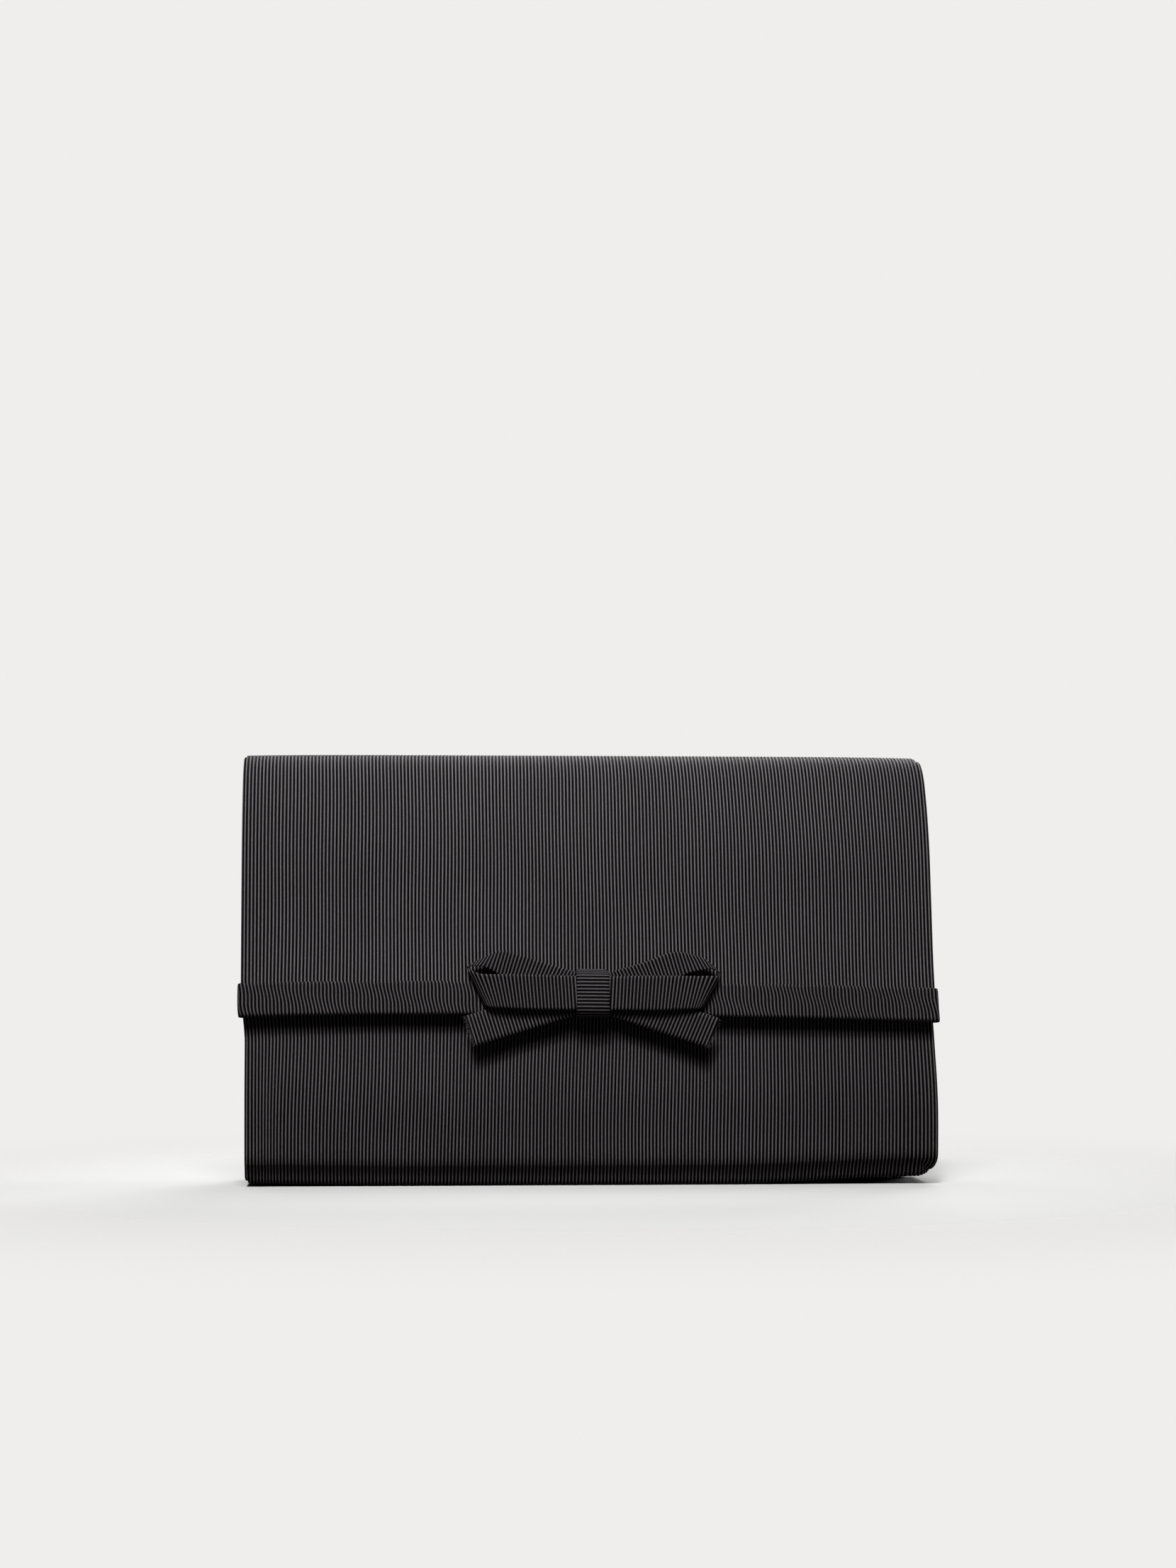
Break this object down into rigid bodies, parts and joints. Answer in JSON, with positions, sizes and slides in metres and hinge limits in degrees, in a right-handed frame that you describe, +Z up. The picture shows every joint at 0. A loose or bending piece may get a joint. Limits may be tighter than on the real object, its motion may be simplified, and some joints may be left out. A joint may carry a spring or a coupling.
{
  "type": "clutch bag",
  "caption": "Wedge-shaped evening clutch bag in ribbed fabric with a fold-over flap, a ribbon band along the flap's hem, a flat ribbon bow and a magnetic snap.",
  "frame": {"origin": "centre of the bag's overall box, on the flat base that it stands on", "axes": "+X along the bag's width, to the right seen from the front; +Y towards the back; +Z up; the flap and bow face -Y"},
  "size_m": [0.2534, 0.0554, 0.1585],
  "materials": {
    "cover_fabric": "ribbed faille, matt with a slight sheen",
    "ribbon": "grosgrain, matt with a slight sheen",
    "lining_fabric": "smooth satin",
    "gusset_fabric": "ribbed faille",
    "board": "raw grey board",
    "interlining": "felted",
    "snap_metal": "polished nickel",
    "magnet": "matt ferrite",
    "thread": "matt"
  },
  "bodies": {
    "case": {"bottom_cover": "cover_fabric", "back_cover": "cover_fabric", "bottom_board": "board", "back_board": "board", "bottom_lining": "lining_fabric", "back_lining": "lining_fabric", "left_gusset": "gusset_fabric", "right_gusset": "gusset_fabric", "left_gusset_lining": "lining_fabric", "right_gusset_lining": "lining_fabric", "pocket_seams": "lining_fabric", "pocket_panel": "lining_fabric", "pocket_binding": "ribbon"},
    "front_panel": {"front_cover": "cover_fabric", "front_board": "board", "front_lining": "lining_fabric", "snap_socket": "snap_metal", "snap_magnet": "magnet", "socket_washer": "snap_metal", "socket_prongs": "snap_metal"},
    "flap_top": {"top_cover": "cover_fabric", "top_interlining": "interlining", "top_lining": "lining_fabric"},
    "flap_front": {"flap_cover": "cover_fabric", "flap_board": "board", "flap_lining": "lining_fabric", "snap_stud": "snap_metal", "stud_prongs": "snap_metal", "stud_washer": "snap_metal", "ribbon_band": "ribbon", "bow_loops": "ribbon", "bow_tails": "ribbon", "bow_knot": "ribbon", "bow_stitches": "thread"}
  },
  "joints": [
    {"name": "flap_lift", "type": "hinge", "parent": "case", "child": "flap_top", "pos_m": [0, 0.02534, 0.15616], "axis": [-1, 0, 0], "range_deg": [0, 165]},
    {"name": "flap_unbend", "type": "hinge", "parent": "flap_top", "child": "flap_front", "pos_m": [0, 0.01001, 0.15635], "axis": [-1, 0, 0], "range_deg": [0, 60]},
    {"name": "mouth_open", "type": "hinge", "parent": "case", "child": "front_panel", "pos_m": [0, -0.02232, 0.008], "axis": [1, 0, 0], "range_deg": [0, 12]}
  ],
  "couplings": [
    {"joint": "mouth_open", "follows": "flap_lift", "ratio": 0.0727}
  ]
}
